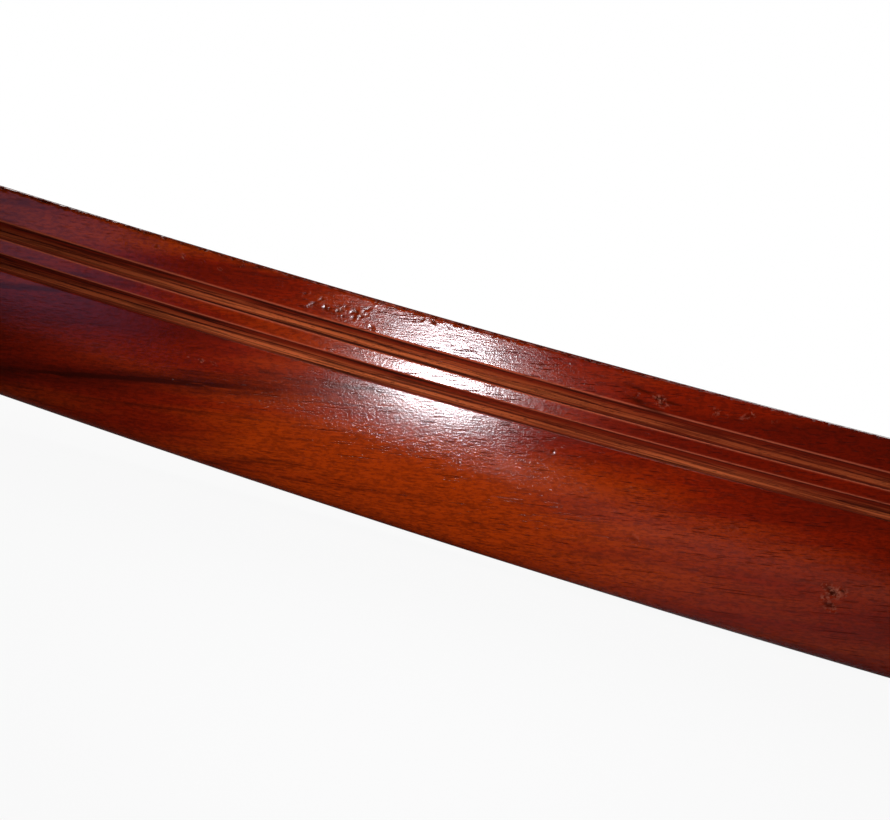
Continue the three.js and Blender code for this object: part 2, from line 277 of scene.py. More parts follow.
# How fine each pattern is, in waves per metre along X, Y and Z.
DRIFT_WAVES = (7, 22, 22)
FIGURE_WAVES = (3.2, 48, 48)
STREAK_WAVES = (7, 330, 330)
FIBRE_WAVES = (90, 2600, 2600)
SPECKLE_WAVES = (450, 1200, 1200)
CLOUD_WAVES = (6, 18, 18)
GROOVE_WAVES = (22, 1300, 1300)
SCUFF_WAVES = (900, 900, 900)
BRUSH_WAVES = (500, 1700, 1700)
PEEL_WAVES = (1600, 1600, 1600)
SMEAR_WAVES = (30, 60, 60)

# How deep the relief goes.
PORE_RELIEF = 0.07 * MM  # in the wood
COATED_PORE_RELIEF = 0.03 * MM  # in the varnish over it
BRUSH_RELIEF = 0.030 * MM
PEEL_RELIEF = 0.022 * MM

STAIN_DEEP = (0.165, 0.0062, 0.0005)
STAIN_RED = (0.270, 0.0120, 0.0006)
STAIN_ORANGE = (0.450, 0.0430, 0.0012)
HEARTWOOD = (0.045, 0.0030, 0.0008)
GROOVE_TAN = (0.78, 0.1750, 0.0500)
# Painted shade on the upper groove flanks, which face down, and the dark figure in the grooves.
GROOVE_SHADE_AND_DARK_FIGURE = (0.18, 0.0095, 0.0010)
# Dirt along the groove fibres, in the dents and on the worn edge, and painted shade in the groove creases
# and corners.
GROOVE_DIRT_AND_SHADE = (0.025, 0.0032, 0.0008)
# Worn varnish on the groove lips, lightened further as a painted highlight where the rounded lip catches
# the light.
WORN_LIP_AND_HIGHLIGHT = (0.70, 0.1500, 0.0700)
PORE_FILL = (0.030, 0.0018, 0.0010)
SCUFFED = (0.42, 0.1200, 0.0700)

# The dark vein crosses the face at this place and climbs towards +X by this slope.
STREAK_X, STREAK_BELOW_TOP, STREAK_SLOPE = -77 * MM, 40.4 * MM, 0.23
STREAK_CORE, STREAK_HALO = 2.0 * MM, 6.0 * MM  # half widths
STREAK_WANDER = 6 * MM

# Soft patches where the stain took differently: centre along the rail and height, reach along the
# rail and up, all in millimetres, and how much warmer (or, below zero, deeper) the colour is.
STAIN_PATCHES = (
    ((-82, 46, 56, 16), -0.18),
    ((-75, 68, 40, 9), -0.10),
    ((-134, 16, 50, 10), 0.10),
    ((-36, 50, 30, 13), -0.13),
    ((2, 26, 46, 14), 0.09),
    ((118, 62, 60, 14), 0.08),
    ((100, 12, 50, 10), 0.06),
)


def pores(shader, grain, spacing, seed, chosen):
    """Short vessels that lie along the grain, in the `chosen` share of cells: 1 inside, 0 in clear wood."""
    along, across = spacing
    cell = shader.mapped(grain, (1 / along, 1 / across, 1 / across), location=(seed, seed, seed))
    voronoi = shader.node("TexVoronoi", {"Vector": cell, "Scale": 1.0})
    chance = shader.node("SeparateColor", {"Color": voronoi.outputs["Color"]}).outputs["Blue"]
    radius = shader.between(chance, 1 - chosen, 1.0, 0.02, 0.36)
    return shader.between(voronoi.outputs["Distance"], radius, shader.times(radius, 0.55))


def open_vessels(shader, grain):
    """Pores of both sizes: up to 1 inside one, and fainter towards the left end."""
    coarse = pores(shader, grain, COARSE_PORES, 0, 0.85)
    fine = pores(shader, grain, FINE_PORES, 1, 0.75)
    vessels = shader.largest(coarse, shader.times(fine, 0.7))
    return shader.times(vessels, shader.between(shader.x, -100 * MM, -20 * MM, 0.35))


def heart_streak(shader, grain):
    """A long vein in the left half, with a black core broken into strokes, that fades out towards +X."""
    wander = shader.noise(shader.place, (16, 16, 16), detail=3, location=(1, 7, 3))
    level = shader.math("MULTIPLY_ADD", wander, STREAK_WANDER, shader.z)
    rise = shader.times(shader.math("SUBTRACT", shader.x, STREAK_X), STREAK_SLOPE)
    centre = BOLT_HEIGHT + RAIL_TOP - STREAK_BELOW_TOP + STREAK_WANDER / 2
    offset = shader.math("SUBTRACT", shader.math("SUBTRACT", level, rise), centre)
    offset = shader.math("ABSOLUTE", offset)
    strokes = shader.noise(grain, (45, 700, 700), roughness=0.6, location=(4, 4, 4))
    core = shader.times(
        shader.between(offset, 0.2 * STREAK_CORE, STREAK_CORE, 0.97, 0.0),
        shader.between(strokes, 0.29, 0.42),
        shader.between(shader.x, -75 * MM, -35 * MM, 1.0, 0.0),
        shader.between(shader.x, -150 * MM, -115 * MM, 0.35),
    )
    halo = shader.times(
        shader.between(offset, 0.0, STREAK_HALO, 1.0, 0.0),
        shader.between(strokes, 0.25, 0.75, 0.35),
        shader.between(shader.x, -60 * MM, 5 * MM, 0.9, 0.0),
    )
    return shader.largest(core, halo)


def stain_warmth(shader, figure):
    """From deep to orange: slow clouds, the figure, a painted glow of light that warms the low middle of
    the face, and the patches.
    """
    clouds = shader.noise(shader.place, CLOUD_WAVES, detail=1, location=(2.0, 0.4, 1.1))
    figured = shader.math("MULTIPLY_ADD", figure, 0.85, -0.17)
    warmth = shader.math("MULTIPLY_ADD", clouds, 0.6, figured)
    # Painted light: the low face is warmed towards the middle of the rail, as if lit more there.
    painted_glow = shader.between(shader.z, 14 * MM, 46 * MM, 0.16, 0.0)
    glow_reach = shader.between(shader.math("ABSOLUTE", shader.x), 35 * MM, 110 * MM, 1.0, 0.15)
    warmth = shader.math("MULTIPLY_ADD", painted_glow, glow_reach, warmth)
    for patch, change in STAIN_PATCHES:
        centre_x, centre_z, reach_x, reach_z = (value * MM for value in patch)
        from_x = shader.math("DIVIDE", shader.math("SUBTRACT", shader.x, centre_x), reach_x)
        from_z = shader.math("DIVIDE", shader.math("SUBTRACT", shader.z, centre_z), reach_z)
        offset = shader.node("CombineXYZ", {"X": from_x, "Y": from_z}).outputs[0]
        amount = shader.between(shader.length(offset), 0.2, 1.0, change, 0.0)
        warmth = shader.math("ADD", warmth, amount)
    return warmth


def stained_wood(shader, grain, figure, fibre):
    """The stain's colour, then everything darker that runs along the grain."""
    warmth = stain_warmth(shader, figure)
    stain = shader.ramp(warmth, (0.38, STAIN_DEEP), (0.52, STAIN_RED), (0.68, STAIN_ORANGE))
    streaks = shader.noise(grain, STREAK_WAVES, roughness=0.6)
    speckle = shader.noise(grain, SPECKLE_WAVES, roughness=0.7)
    streaked = shader.between(streaks, 0.52, 0.78, 0.0, 0.75)
    darker = (
        shader.times(streaked, shader.between(shader.x, -50 * MM, 30 * MM, 1.0, 0.35)),
        heart_streak(shader, grain),
        shader.between(fibre, 0.3, 0.8, 0.0, 0.30),
        shader.between(speckle, 0.42, 0.62, 0.0, 0.38),
    )
    for amount in darker:
        stain = shader.mix(amount, stain, HEARTWOOD)
    return stain


def bare_groove(shader, figure):
    """Timber with the varnish gone: tan, painted lit on the lower flanks, which face up, and painted shade
    on the upper flanks, with dirt along the fibres.
    """
    flank_light = shader.attribute("flank_light")
    # The painted light on the lower flanks fades towards the left end.
    lightness = shader.times(flank_light, shader.between(shader.x, -145 * MM, -40 * MM, 0.55))
    bare = shader.mix(lightness, GROOVE_SHADE_AND_DARK_FIGURE, GROOVE_TAN)
    lines = shader.noise(shader.place, GROOVE_WAVES, detail=3, roughness=0.65)
    dirt = shader.times(shader.math("MULTIPLY_ADD", flank_light, -0.35, 0.95), shader.between(lines, 0.47, 0.57))
    bare = shader.mix(dirt, bare, GROOVE_DIRT_AND_SHADE)
    return shader.mix(shader.between(figure, 0.35, 0.6, 0.55, 0.0), bare, GROOVE_SHADE_AND_DARK_FIGURE)


def varnish(shader, grain, relief, bare):
    """The coat over the wood: brushed, slightly peeled, smeared by hands, and absent where bare."""
    strokes = shader.noise(grain, BRUSH_WAVES, roughness=0.6)
    peel = shader.noise(shader.place, PEEL_WAVES, roughness=0.6)
    peel = shader.times(peel, shader.between(shader.z, 28 * MM, 46 * MM, 4.2))
    brushed = shader.bump(strokes, BRUSH_RELIEF, shader.bump(relief, COATED_PORE_RELIEF))
    groove = shader.attribute("groove")
    unbared = shader.math("SUBTRACT", 1.0, shader.times(groove, 0.93))
    sealed = shader.math("MULTIPLY_ADD", bare, -0.95, 1.0)
    smear = shader.noise(shader.place, SMEAR_WAVES, location=(5, 5, 5))
    return {
        "Coat Weight": shader.times(unbared, sealed),
        "Coat Roughness": shader.between(smear, 0.3, 0.7, 0.09, 0.14),
        "Coat IOR": 1.4,
        "Coat Normal": shader.bump(peel, PEEL_RELIEF, brushed),
    }


def varnished_timber():
    """Red-stained hardwood under varnish, bare in the grooves and where the rail's masks say it wore. The
    masks also paint light and shade into the grooves and highlights onto their lips.
    """
    shader = Shader("varnished_timber")
    grain = shader.mapped(shader.place, rotation=(0.02, GRAIN_TILT, 0.05))
    grain = shader.drifted(grain, DRIFT_WAVES, GRAIN_DRIFT)
    fibre = shader.noise(grain, FIBRE_WAVES)
    figure = shader.noise(grain, FIGURE_WAVES, detail=3, roughness=0.55, location=(0.3, 1.9, 2.2))
    vessel = open_vessels(shader, grain)
    groove, lip, dark, scuff = (shader.attribute(name) for name in ("groove", "lip", "dark", "scuff"))
    broken = shader.between(shader.noise(shader.place, SCUFF_WAVES, roughness=0.7), 0.46, 0.58)

    colour = stained_wood(shader, grain, figure, fibre)
    colour = shader.mix(groove, colour, bare_groove(shader, figure))
    # Painted shade in the groove creases and corners.
    colour = shader.mix(shader.attribute("crease_shade"), colour, GROOVE_DIRT_AND_SHADE)
    # The groove lips: worn, and painted light as a highlight.
    colour = shader.mix(lip, colour, WORN_LIP_AND_HIGHLIGHT)
    colour = shader.mix(shader.times(dark, 0.9), colour, GROOVE_DIRT_AND_SHADE)
    colour = shader.mix(shader.times(scuff, broken), colour, SCUFFED)
    colour = shader.mix(shader.times(vessel, 0.7), colour, PORE_FILL)

    relief = shader.math("MULTIPLY_ADD", vessel, -1.0, shader.times(fibre, 0.25))
    bare_spots = shader.largest(vessel, dark, shader.times(lip, 1.4), shader.times(scuff, 1.5))
    return shader.finish({
        "Base Color": colour,
        "Roughness": shader.math("MULTIPLY_ADD", groove, 0.2, 0.6),
        "Specular IOR Level": shader.times(groove, 0.1),
        "Normal": shader.bump(relief, PORE_RELIEF),
        **varnish(shader, grain, relief, bare_spots),
    })


# ---- Metal and rubber ----

BRASS_CLEAN, BRASS_TARNISHED = (0.83, 0.58, 0.22), (0.52, 0.31, 0.11)
STEEL_CLEAN, STEEL_MARKED = (0.60, 0.61, 0.62), (0.46, 0.47, 0.48)
RUBBER_CLEAN, RUBBER_DUSTY = (0.018, 0.018, 0.019), (0.050, 0.048, 0.045)


def polished_brass():
    """Lathe-turned brass: fine rings about each axis, handled patches and clouds of dull tarnish."""
    shader = Shader("polished_brass")
    rings = shader.noise(shader.place, (40, 5200, 40), roughness=0.7)
    tarnish = shader.noise(shader.place, (160, 160, 160), detail=4, roughness=0.6)
    handling = shader.noise(shader.place, (55, 55, 55), detail=3, roughness=0.55, location=(3, 1, 4))
    cloud = shader.between(tarnish, 0.46, 0.72)
    roughness = shader.between(handling, 0.35, 0.7, 0.13, 0.30)
    return shader.finish({
        "Base Color": shader.mix(cloud, BRASS_CLEAN, BRASS_TARNISHED),
        "Metallic": 1.0,
        "Roughness": shader.math("MULTIPLY_ADD", cloud, 0.12, roughness),
        "Normal": shader.bump(rings, 0.004 * MM),
    })


def satin_steel():
    """Stainless steel with a straight brushed finish along X."""
    shader = Shader("satin_steel")
    brushing = shader.noise(shader.place, (120, 3600, 3600), roughness=0.7)
    marks = shader.noise(shader.place, (90, 90, 90), detail=4, roughness=0.6)
    return shader.finish({
        "Base Color": shader.mix(shader.between(marks, 0.4, 0.7), STEEL_CLEAN, STEEL_MARKED),
        "Metallic": 1.0,
        "Roughness": shader.between(brushing, 0.3, 0.7, 0.22, 0.40),
        "Normal": shader.bump(brushing, 0.006 * MM),
    })


def black_rubber():
    """Moulded rubber with a fine skin and some dust."""
    shader = Shader("black_rubber")
    skin = shader.noise(shader.place, (1400, 1400, 1400), detail=3, roughness=0.6)
    dust = shader.noise(shader.place, (70, 70, 70), detail=4, roughness=0.6)
    return shader.finish({
        "Base Color": shader.mix(shader.between(dust, 0.45, 0.8), RUBBER_CLEAN, RUBBER_DUSTY),
        "Roughness": shader.between(dust, 0.3, 0.7, 0.55, 0.80),
        "Specular IOR Level": 0.35,
        "Normal": shader.bump(skin, 0.03 * MM),
    })


# Each finish is a material and the slot of the record that it stands for.
TIMBER = (varnished_timber(), "varnished_hardwood")
BRASS = (polished_brass(), "brass")
STEEL = (satin_steel(), "stainless_steel")
RUBBER = (black_rubber(), "rubber")


# ---- The rail ----

FINE_REACH = 170 * MM  # the middle stretch carries dents and chips, so it is sampled closely
FINE_STEP = 0.4 * MM
COARSE_STEP = 2 * MM
CAP_RINGS = (0.8, 0.5, 0.2)  # loops that close each end, as shares of the end's outline


def face_point(distance, height):
    """A point at a distance down the face from its top corner, and a height off it."""
    return FACE_CORNER + distance * ALONG_FACE + height * OFF_FACE


def groove_depth(distance):
    """How far the grooves cut below the face at a distance from its top corner, before softening."""
    depth = np.zeros_like(distance)
    for start in GROOVE_STARTS:
        inside = (distance > start) & (distance < start + GROOVE_WIDTH)
        slope = np.minimum(distance - start, start + GROOVE_WIDTH - distance)
        depth = np.where(inside, QUIRK + slope, depth)
    return depth


def softened_groove_depth(distance):
    """The depth averaged over a short stretch, which rounds the lips and the valleys."""
    shifts = np.linspace(-LIP_SOFTNESS, LIP_SOFTNESS, 9)
    return np.mean([groove_depth(distance + shift) for shift in shifts], axis=0)


def face_distances(start):
    """Where the face is sampled, closely where a groove turns the surface."""
    plain_step, groove_step, margin = 0.4 * MM, 0.1 * MM, 0.4 * MM
    stops = [start]
    while stops[-1] < FLAT_LENGTH - groove_step:
        here = stops[-1]
        close = any(s - margin <= here < s + GROOVE_WIDTH + margin for s in GROOVE_STARTS)
        stops.append(here + (groove_step if close else plain_step))
    return np.array(stops)


def section():
    """The closed outline as (out, up) points, with each point's distance down the face or -1. The last
    value of each arc and straight is its number of points."""
    shoulder = face_point(FLAT_LENGTH, -SHOULDER_RADIUS)
    belly = shoulder + (SHOULDER_RADIUS - BELLY_RADIUS, 0)
    reach = BELLY_RADIUS - NOSE_RADIUS
    nose_up = RAIL_BOTTOM + NOSE_RADIUS
    nose_angle = math.asin((nose_up - belly[1]) / reach)
    nose = (belly[0] + reach * math.cos(nose_angle), nose_up)
    arris_out = TOP_WIDTH - ARRIS_RADIUS * (1 - math.sin(FACE_LEAN)) / math.cos(FACE_LEAN)
    arris_run = ARRIS_RADIUS * math.tan((QUARTER - FACE_LEAN) / 2)
    distances = face_distances(arris_run)
    back_low, back_high = RAIL_BOTTOM + BACK_RADIUS, RAIL_TOP - BACK_RADIUS
    runs = [
        arc((arris_out, RAIL_TOP - ARRIS_RADIUS), ARRIS_RADIUS, QUARTER, FACE_LEAN, 10)[:-1],
        np.array([face_point(distance, 0) for distance in distances]),
        arc(shoulder, SHOULDER_RADIUS, FACE_LEAN, 0, 41),
        arc(belly, BELLY_RADIUS, 0, nose_angle, 44)[1:],
        arc(nose, NOSE_RADIUS, nose_angle, -QUARTER, 24)[1:],
        arc((BACK_RADIUS, back_low), BACK_RADIUS, -QUARTER, -2 * QUARTER, 9),
        straight((0, back_low), (0, back_high), 14),
        arc((BACK_RADIUS, back_high), BACK_RADIUS, 2 * QUARTER, QUARTER, 9),
        straight((BACK_RADIUS, RAIL_TOP), (arris_out, RAIL_TOP), 7),
    ]
    down_face = [np.full(len(run), -1.0) for run in runs]
    down_face[1] = distances
    return np.concatenate(runs), np.concatenate(down_face)


def stations():
    """Cross-sections along X: place, and how far the quarter-rounded end draws the section in."""
    angles = np.linspace(0, QUARTER, 13)
    tip = -RAIL_LENGTH / 2
    end = [(tip + END_RADIUS * (1 - math.cos(a)), END_RADIUS * (1 - math.sin(a))) for a in angles]
    outer = np.arange(end[-1][0] + COARSE_STEP, -FINE_REACH, COARSE_STEP)
    middle = np.arange(-FINE_REACH, FINE_REACH, FINE_STEP)
    half = end + [(x, 0.0) for x in outer]
    mirrored = [(-x, inset) for x, inset in reversed(half)]
    rows = half + [(x, 0.0) for x in middle] + mirrored
    return np.array(rows).T


# Marks of use on the face, in millimetres: where each cluster lies along the rail and down the face,
# how far it spreads each way, the radius of its dents, and how many there are.
DENT_CLUSTERS = (
    ((-39, 5.8, 11, 2.6, 0.62), 26),
    ((-12, 1.9, 5, 0.5, 0.5), 7),
    ((-88, 4.0, 14, 2.5, 0.4), 10),
    ((62, 6.0, 6, 1.4, 0.6), 8),
    ((82, 6.4, 2, 1.2, 0.6), 4),
    ((92, 3.0, 5, 1.2, 0.5), 4),
    ((45, 30.8, 6, 0.5, 0.5), 2),
    ((97, 39.0, 0.3, 0.3, 1.0), 1),
    ((68, 50.0, 0.3, 0.3, 0.9), 1),
    ((134, 48.0, 4, 4.6, 0.9), 9),
    ((-78, 34.5, 4, 1.0, 0.30), 6),
)

# Longer tears, nearly level with the rail, in millimetres: place along the rail and down the face,
# half length, half width.
TEARS = (
    (58, 5.2, 6.0, 0.6), (67, 6.6, 4.5, 0.5), (57, 8.6, 4.0, 1.1), (63, 10.2, 7.0, 0.7),
    (-44, 7.6, 2.5, 0.5),
)
TEAR_SLOPE = 0.07
DENT_DEPTH = 0.12 * MM
TEAR_DEPTH = 0.7 * DENT_DEPTH
RIM_HEIGHT = 0.04 * MM
RIM_PLACE, RIM_WIDTH = 1.25, 0.35  # in radii of the dent
SCATTER = 0.6  # how tightly a cluster's dents keep to its middle
CHIP_DEPTH = 0.9 * MM
CHIP_START = 0.10  # noise above this takes a chip out of the upper front edge
CHIPPED_REACH = (30 * MM, 90 * MM)  # along here the upper edge goes from chipped to nearly whole
EDGE_WIDTH = 0.65 * MM
SANDING_WAVE = 0.045 * MM


def smooth_noise(points, scale, seed=0.0):
    """Coherent noise from -1 to 1 at each point, `scale` in waves per metre."""
    shift = Vector((seed, 1.7 * seed, -seed))
    return np.array([noise.noise(Vector(point) * scale + shift) for point in points])


def dents(x, run):
    """Height of the dents and tears, how dark they are inside and how scuffed at the rim. `run` is the
    distance down the outline."""
    rng = np.random.default_rng(11)
    height, dark, scuffed = np.zeros((3, *x.shape))
    for cluster, count in DENT_CLUSTERS:
        centre, depth_down, spread, spread_down, radius = (value * MM for value in cluster)
        for _ in range(count):
            place = centre + spread * rng.normal() * SCATTER
            down = depth_down + spread_down * rng.normal() * SCATTER
            size = radius * rng.uniform(0.5, 1.3)
            stretch = rng.uniform(1.0, 2.4)
            strength = rng.uniform(0.3, 1.0)
            lean = rng.uniform(-0.8, 0.8)
            reach = np.hypot((x - place) / stretch, run - down - lean * (x - place)) / size
            near = reach < 2.5  # nothing shows farther out
            bowl = np.exp(-reach[near] ** 2 * 1.8)
            rim = np.exp(-((reach[near] - RIM_PLACE) / RIM_WIDTH) ** 2)
            height[near] += strength * (RIM_HEIGHT * rim - DENT_DEPTH * bowl)
            dark[near] += strength * bowl
            scuffed[near] += strength * rim
    for tear in TEARS:
        centre, depth_down, half_length, half_width = (value * MM for value in tear)
        along = x - centre
        reach = np.hypot(along / half_length, (run - depth_down - TEAR_SLOPE * along) / half_width)
        gash = np.exp(-reach ** 2 * 1.5)
        height -= TEAR_DEPTH * gash
        dark += gash
    return height, np.clip(0.9 * dark, 0, 1), np.clip(0.4 * scuffed, 0, 1)


def edge_wear(x, flat_places, run, arris_middle):
    """How deep the upper front edge is chipped, and how dark it is worn."""
    edge = np.exp(-((run - arris_middle) / EDGE_WIDTH) ** 2) * np.interp(x, CHIPPED_REACH, (1, 0.35))
    ragged = smooth_noise(flat_places * (1, 2, 2), 420, 5.0) + 0.8 * smooth_noise(flat_places, 1300, 9.0)
    ragged = ragged.reshape(x.shape)
    chips = CHIP_DEPTH * np.clip(ragged - CHIP_START, 0, 1) * edge
    return chips, np.clip(edge * (0.65 + 0.9 * ragged), 0, 1)


def outward_normals(outline):
    """The closed outline's unit normals, from each point's neighbours."""
    normals = np.roll(outline, -1, 0) - np.roll(outline, 1, 0)
    normals = np.stack([-normals[:, 1], normals[:, 0]], 1)
    return normals / np.linalg.norm(normals, axis=1)[:, None]


def swept_section(outline, places, insets):
    """The section at each place, and the middles of those sections. It rises with the sheer and
    stretches with the taper, and the quarter-rounded ends draw it towards its middle."""
    top, bottom = height_at(RAIL_TOP, places), height_at(RAIL_BOTTOM, places)
    middle = np.stack([np.full(len(places), outline[:, 0].max() / 2), (top + bottom) / 2], 1)
    half = np.stack([middle[:, 0], (top - bottom) / 2], 1)
    share = 1 - insets[:, None] / half
    heights = height_at(outline[None, :, 1], places[:, None])
    points = np.stack([np.broadcast_to(outline[None, :, 0], heights.shape), heights], -1)
    return middle[:, None] + (points - middle[:, None]) * share[:, None], middle


def groove_cut(points, places, on_face):
    """How far each point lies down the face, and how deep it is cut. The grooves keep a constant depth
    below the face, so they run out on the rounded ends."""
    corner = np.stack([np.full(len(places), FACE_CORNER[0]), FACE_CORNER[1] + sheer(places)], 1)
    below = (corner[:, None] - points) @ OFF_FACE
    down = (points - corner[:, None]) @ ALONG_FACE
    cut = np.where(on_face, softened_groove_depth(down), 0.0)
    return down, np.maximum(cut - np.maximum(below, 0), 0)


# Across each groove, from its start as shares of its width: how light the bare timber is painted, with
# painted light on the lower flank, which faces up, and painted shade on the upper flank and at the foot of
# the lower one.
FLANK_SHARES = (0.00, 0.22, 0.36, 0.52, 0.60, 0.78, 0.86, 1.00)
FLANK_PAINTED_LIGHT = (0.0, 0.05, 0.40, 0.40, 1.00, 1.00, 0.30, 0.15)


def painted_flank_light(down):
    """How light the bare timber is painted: painted light on each groove's lower flank, which faces up, and
    painted shade elsewhere in the groove.
    """
    lightness = np.zeros_like(down)
    for start in GROOVE_STARTS:
        share = (down - start) / GROOVE_WIDTH
        lightness += np.interp(share, FLANK_SHARES, FLANK_PAINTED_LIGHT, left=0, right=0)
    return lightness


def near_places(down, offsets, width):
    """1 on thin lines that run along each groove at these offsets from its start."""
    lines = np.zeros_like(down)
    for start in GROOVE_STARTS:
        for offset in offsets:
            lines += np.exp(-((down - start - offset) / width) ** 2)
    return np.clip(lines, 0, 1)


LINE_WIDTH = 0.2 * MM
# Painted shade runs along the corners at both walls of each groove, and fainter down its middle crease.
CREASE_SHADE_OFFSETS = (0.2 * MM, GROOVE_WIDTH - 0.25 * MM)
# Worn lips, painted light as highlights, run along the edges above and below each groove.
LIP_OFFSETS = (-0.1 * MM, GROOVE_WIDTH + 0.18 * MM)


def groove_masks(down, cut, on_face):
    """Where the timber material shows bare groove, its flank painted light and shade, painted shade in its
    crease and corners, and its lips, worn and painted with a highlight.
    """
    valley = np.where(on_face, cut, 0)
    crease_shade = 0.50 * near_places(down, (GROOVE_WIDTH / 2,), LINE_WIDTH)
    crease_shade += 0.60 * near_places(down, CREASE_SHADE_OFFSETS, LINE_WIDTH)
    return {
        "groove": np.clip((valley - 0.03 * MM) / (0.15 * MM), 0, 1),
        "flank_light": painted_flank_light(down) * (valley > 0),
        "crease_shade": crease_shade * (valley > QUIRK * 0.5),
        "lip": 0.75 * near_places(down, LIP_OFFSETS, 0.18 * MM) * on_face,
    }


def close_end(vertices, faces, first, columns, middle):
    """Closes the end whose outline starts at vertex `first`, with shrinking rings and a centre point."""
    rim, centre = vertices[first:first + columns], np.array([middle])
    rings = [centre + (rim - centre) * share for share in CAP_RINGS]
    inner = len(CAP_RINGS) * columns
    closing = grid_faces(len(CAP_RINGS) + 1, columns)
    closing += [(inner + c, inner + (c + 1) % columns, inner + columns) for c in range(columns)]
    total = len(vertices)
    indices = [*range(first, first + columns), *range(total, total + inner + 1)]
    faces = faces + [tuple(indices[corner] for corner in face) for face in closing]
    return np.concatenate([vertices, *rings, centre]), faces


def build_rail():
    """Sweeps the section, cuts the grooves, wears the surface, and paints the masks its material reads."""
    outline, distances = section()
    places, insets = stations()
    rows, columns = shape = len(places), len(outline)
    steps = np.diff(np.vstack([outline, outline[:1]]), axis=0)
    run = np.concatenate([[0], np.cumsum(np.hypot(steps[:, 0], steps[:, 1]))[:-1]])
    face_start = np.argmax(distances > 0)
    run -= run[face_start] - distances[face_start]
    arris_middle = run[face_start] - 0.75 * ARRIS_RADIUS

    points, middle = swept_section(outline, places, insets)
    on_face = np.broadcast_to(distances > 0, shape)
    down, cut = groove_cut(points, places, on_face)
    points -= cut[..., None] * OFF_FACE

    x = np.broadcast_to(places[:, None], shape)
    flat_places = np.stack([x, points[..., 0], points[..., 1]], -1).reshape(-1, 3)
    relief = SANDING_WAVE * smooth_noise(flat_places * (1, 3, 3), 22).reshape(shape)
    dent_height, dent_dark, dent_scuffed = dents(x, np.broadcast_to(run, shape))
    chips, worn_edge = edge_wear(x, flat_places, run, arris_middle)
    relief += dent_height
    relief -= chips
    fade = np.clip(1 - insets[:, None] / END_RADIUS, 0, 1) * (cut < 0.05 * MM)
    points += (relief * fade)[..., None] * outward_normals(outline)

    out, up = points[..., 0], points[..., 1]
    vertices = np.stack([x, RAIL_BACK - out, BOLT_HEIGHT + up], -1).reshape(-1, 3)
    faces = grid_faces(rows, columns)
    for row in (0, rows - 1):
        centre = (places[row], RAIL_BACK - middle[row, 0], BOLT_HEIGHT + middle[row, 1])
        vertices, faces = close_end(vertices, faces, row * columns, columns, centre)

    material, slot = TIMBER
    piece = new_object("varnished_rail", vertices, faces, material)
    face_outward(piece)
    masks = groove_masks(down, cut, on_face)
    masks["dark"] = np.maximum(dent_dark, worn_edge)
    masks["scuff"] = dent_scuffed
    for name, mask in masks.items():
        values = np.zeros(len(vertices), np.float32)
        values[: rows * columns] = mask.reshape(-1)
        piece.data.attributes.new(name, "FLOAT", "POINT").data.foreach_set("value", values)
    stand_for("rail", piece)


build_rail()


# ---- Hardware helpers ----
# Each fixing is drawn about its own axis: points are (radius, along), and `along` is the distance
# from the bulkhead's face into the room.

BULKHEAD_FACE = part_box("left_gasket")[1].y


def span(node):
    """Where a node starts and ends along its fixing."""
    low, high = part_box(node)
    return BULKHEAD_FACE - high.y, BULKHEAD_FACE - low.y


def radius_of(node):
    low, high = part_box(node)
    return (high.x - low.x) / 2


def rounded(corners, fillet):
    """A closed outline with every corner eased. A corner may bring its own easing as a third value."""
    outline = []
    count = len(corners)
    for index, corner in enumerate(corners):
        here = np.array(corner[:2])
        ease = corner[2] if len(corner) > 2 else fillet
        if ease == 0:
            outline.append(here)
            continue
        before, after = (np.array(corners[(index + step) % count][:2]) - here for step in (-1, 1))
        start, end = (here + leg * min(ease / np.linalg.norm(leg), 0.45) for leg in (before, after))
        outline.extend(bent(start, here, end, 5))
    return np.array(outline)


def turned(node, profile, reshape=None, columns=96):
    """A solid of revolution on a node's axis. The profile closes on itself, or starts and ends on
    the axis. `reshape` may change the radius by place and angle."""
    profile = np.array(profile)
    low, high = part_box(node)
    angle = np.arange(columns)[None] * FULL_TURN / columns
    radius, along = np.broadcast_arrays(profile[:, :1], profile[:, 1:2] + 0 * angle)
    if reshape:
        radius = reshape(radius, along, angle)
    x = (low.x + high.x) / 2 + radius * np.cos(angle)
    z = (low.z + high.z) / 2 + radius * np.sin(angle)
    vertices = np.stack([x, BULKHEAD_FACE - along, z], -1)
    rows = len(profile)
    if profile[0, 0] > 0:
        total = rows * columns
        faces = [tuple(index % total for index in face) for face in grid_faces(rows + 1, columns)]
        return vertices.reshape(-1, 3), faces
    faces = grid_faces(rows - 2, columns)
    count = (rows - 2) * columns
    faces += [((c + 1) % columns, c, count) for c in range(columns)]
    last = count - columns
    faces += [(last + c, last + (c + 1) % columns, count + 1) for c in range(columns)]
    poles = np.stack([vertices[0, 0], vertices[-1, 0]])
    return np.concatenate([vertices[1:-1].reshape(-1, 3), poles]), faces


def crest(along, angle, pitch, steepness=1):
    """A helix about the axis: 1 on its crest and 0 between the turns."""
    phase = (along / pitch - angle / FULL_TURN) % 1
    return np.clip(1 - steepness * np.abs(2 * phase - 1), 0, 1)


def thread(start, end, pitch, depth, root):
    """A helical ridge on everything as wide as the root, fading out at both ends."""
    def reshape(radius, along, angle):
        ridge = depth * crest(along, angle, pitch)
        fade = np.clip((along - start) / pitch, 0, 1) * np.clip((end - along) / pitch, 0, 1)
        return np.where(radius >= root - 1e-6, radius + ridge * fade, radius)
    return reshape


